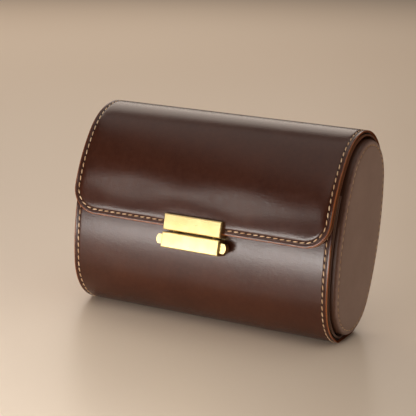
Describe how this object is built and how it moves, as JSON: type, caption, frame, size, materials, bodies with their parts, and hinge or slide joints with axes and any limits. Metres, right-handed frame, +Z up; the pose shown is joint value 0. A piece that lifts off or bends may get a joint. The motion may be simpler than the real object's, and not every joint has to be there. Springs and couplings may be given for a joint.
{
  "type": "watch display case",
  "caption": "Oval hard-shell leather travel and display case for watches, with a wrap-over flap, a brass squeeze clasp and suede cushions.",
  "frame": {"origin": "on the ground under the middle of the case", "axes": "+X along the case to its right end, -Y to the front with the clasp, +Z up"},
  "size_m": [0.144, 0.073, 0.1005],
  "materials": {
    "leather": "waxed, semi-matt",
    "flap_lining": "burnished edge, matt",
    "suede": "napped, matt",
    "cushion": "napped, matt",
    "board": "raw pressed board",
    "brass": "satin with polished edges",
    "steel": "plain"
  },
  "bodies": {
    "case": {"shell_leather": "leather", "shell_board": "board", "shell_lining": "suede", "hinge_leather": "leather", "left_end_core": "board", "left_end_leather": "leather", "left_end_lining": "suede", "right_end_core": "board", "right_end_leather": "leather", "right_end_lining": "suede", "divider_board": "board", "divider_suede": "suede", "left_cushion": "cushion", "right_cushion": "cushion", "lock_case": "brass", "lock_back_plate": "brass", "lock_screws": "steel", "left_spring": "steel", "right_spring": "steel"},
    "flap": {"flap_leather": "leather", "flap_board": "board", "flap_lining": "flap_lining", "clasp_plate": "brass", "clasp_backing": "brass", "clasp_rivets": "brass", "left_latch_pin": "brass", "right_latch_pin": "brass"},
    "left_push": {"left_button": "brass", "left_catch": "steel"},
    "right_push": {"right_button": "brass", "right_catch": "steel"}
  },
  "joints": [
    {"name": "flap_hinge", "type": "hinge", "parent": "case", "child": "flap", "pos_m": [0, 0.03648, 0.06236], "axis": [-1, 0, 0], "range_deg": [0, 135], "deforming": ["hinge_leather"]},
    {"name": "left_press", "type": "slide", "parent": "case", "child": "left_push", "axis": [1, 0, 0], "range_m": [0, 0.0016], "stiffness_N_per_m": 400, "springref_m": -0.003, "deforming": ["left_spring"]},
    {"name": "right_press", "type": "slide", "parent": "case", "child": "right_push", "axis": [-1, 0, 0], "range_m": [0, 0.0016], "stiffness_N_per_m": 400, "springref_m": -0.003, "deforming": ["right_spring"]}
  ]
}
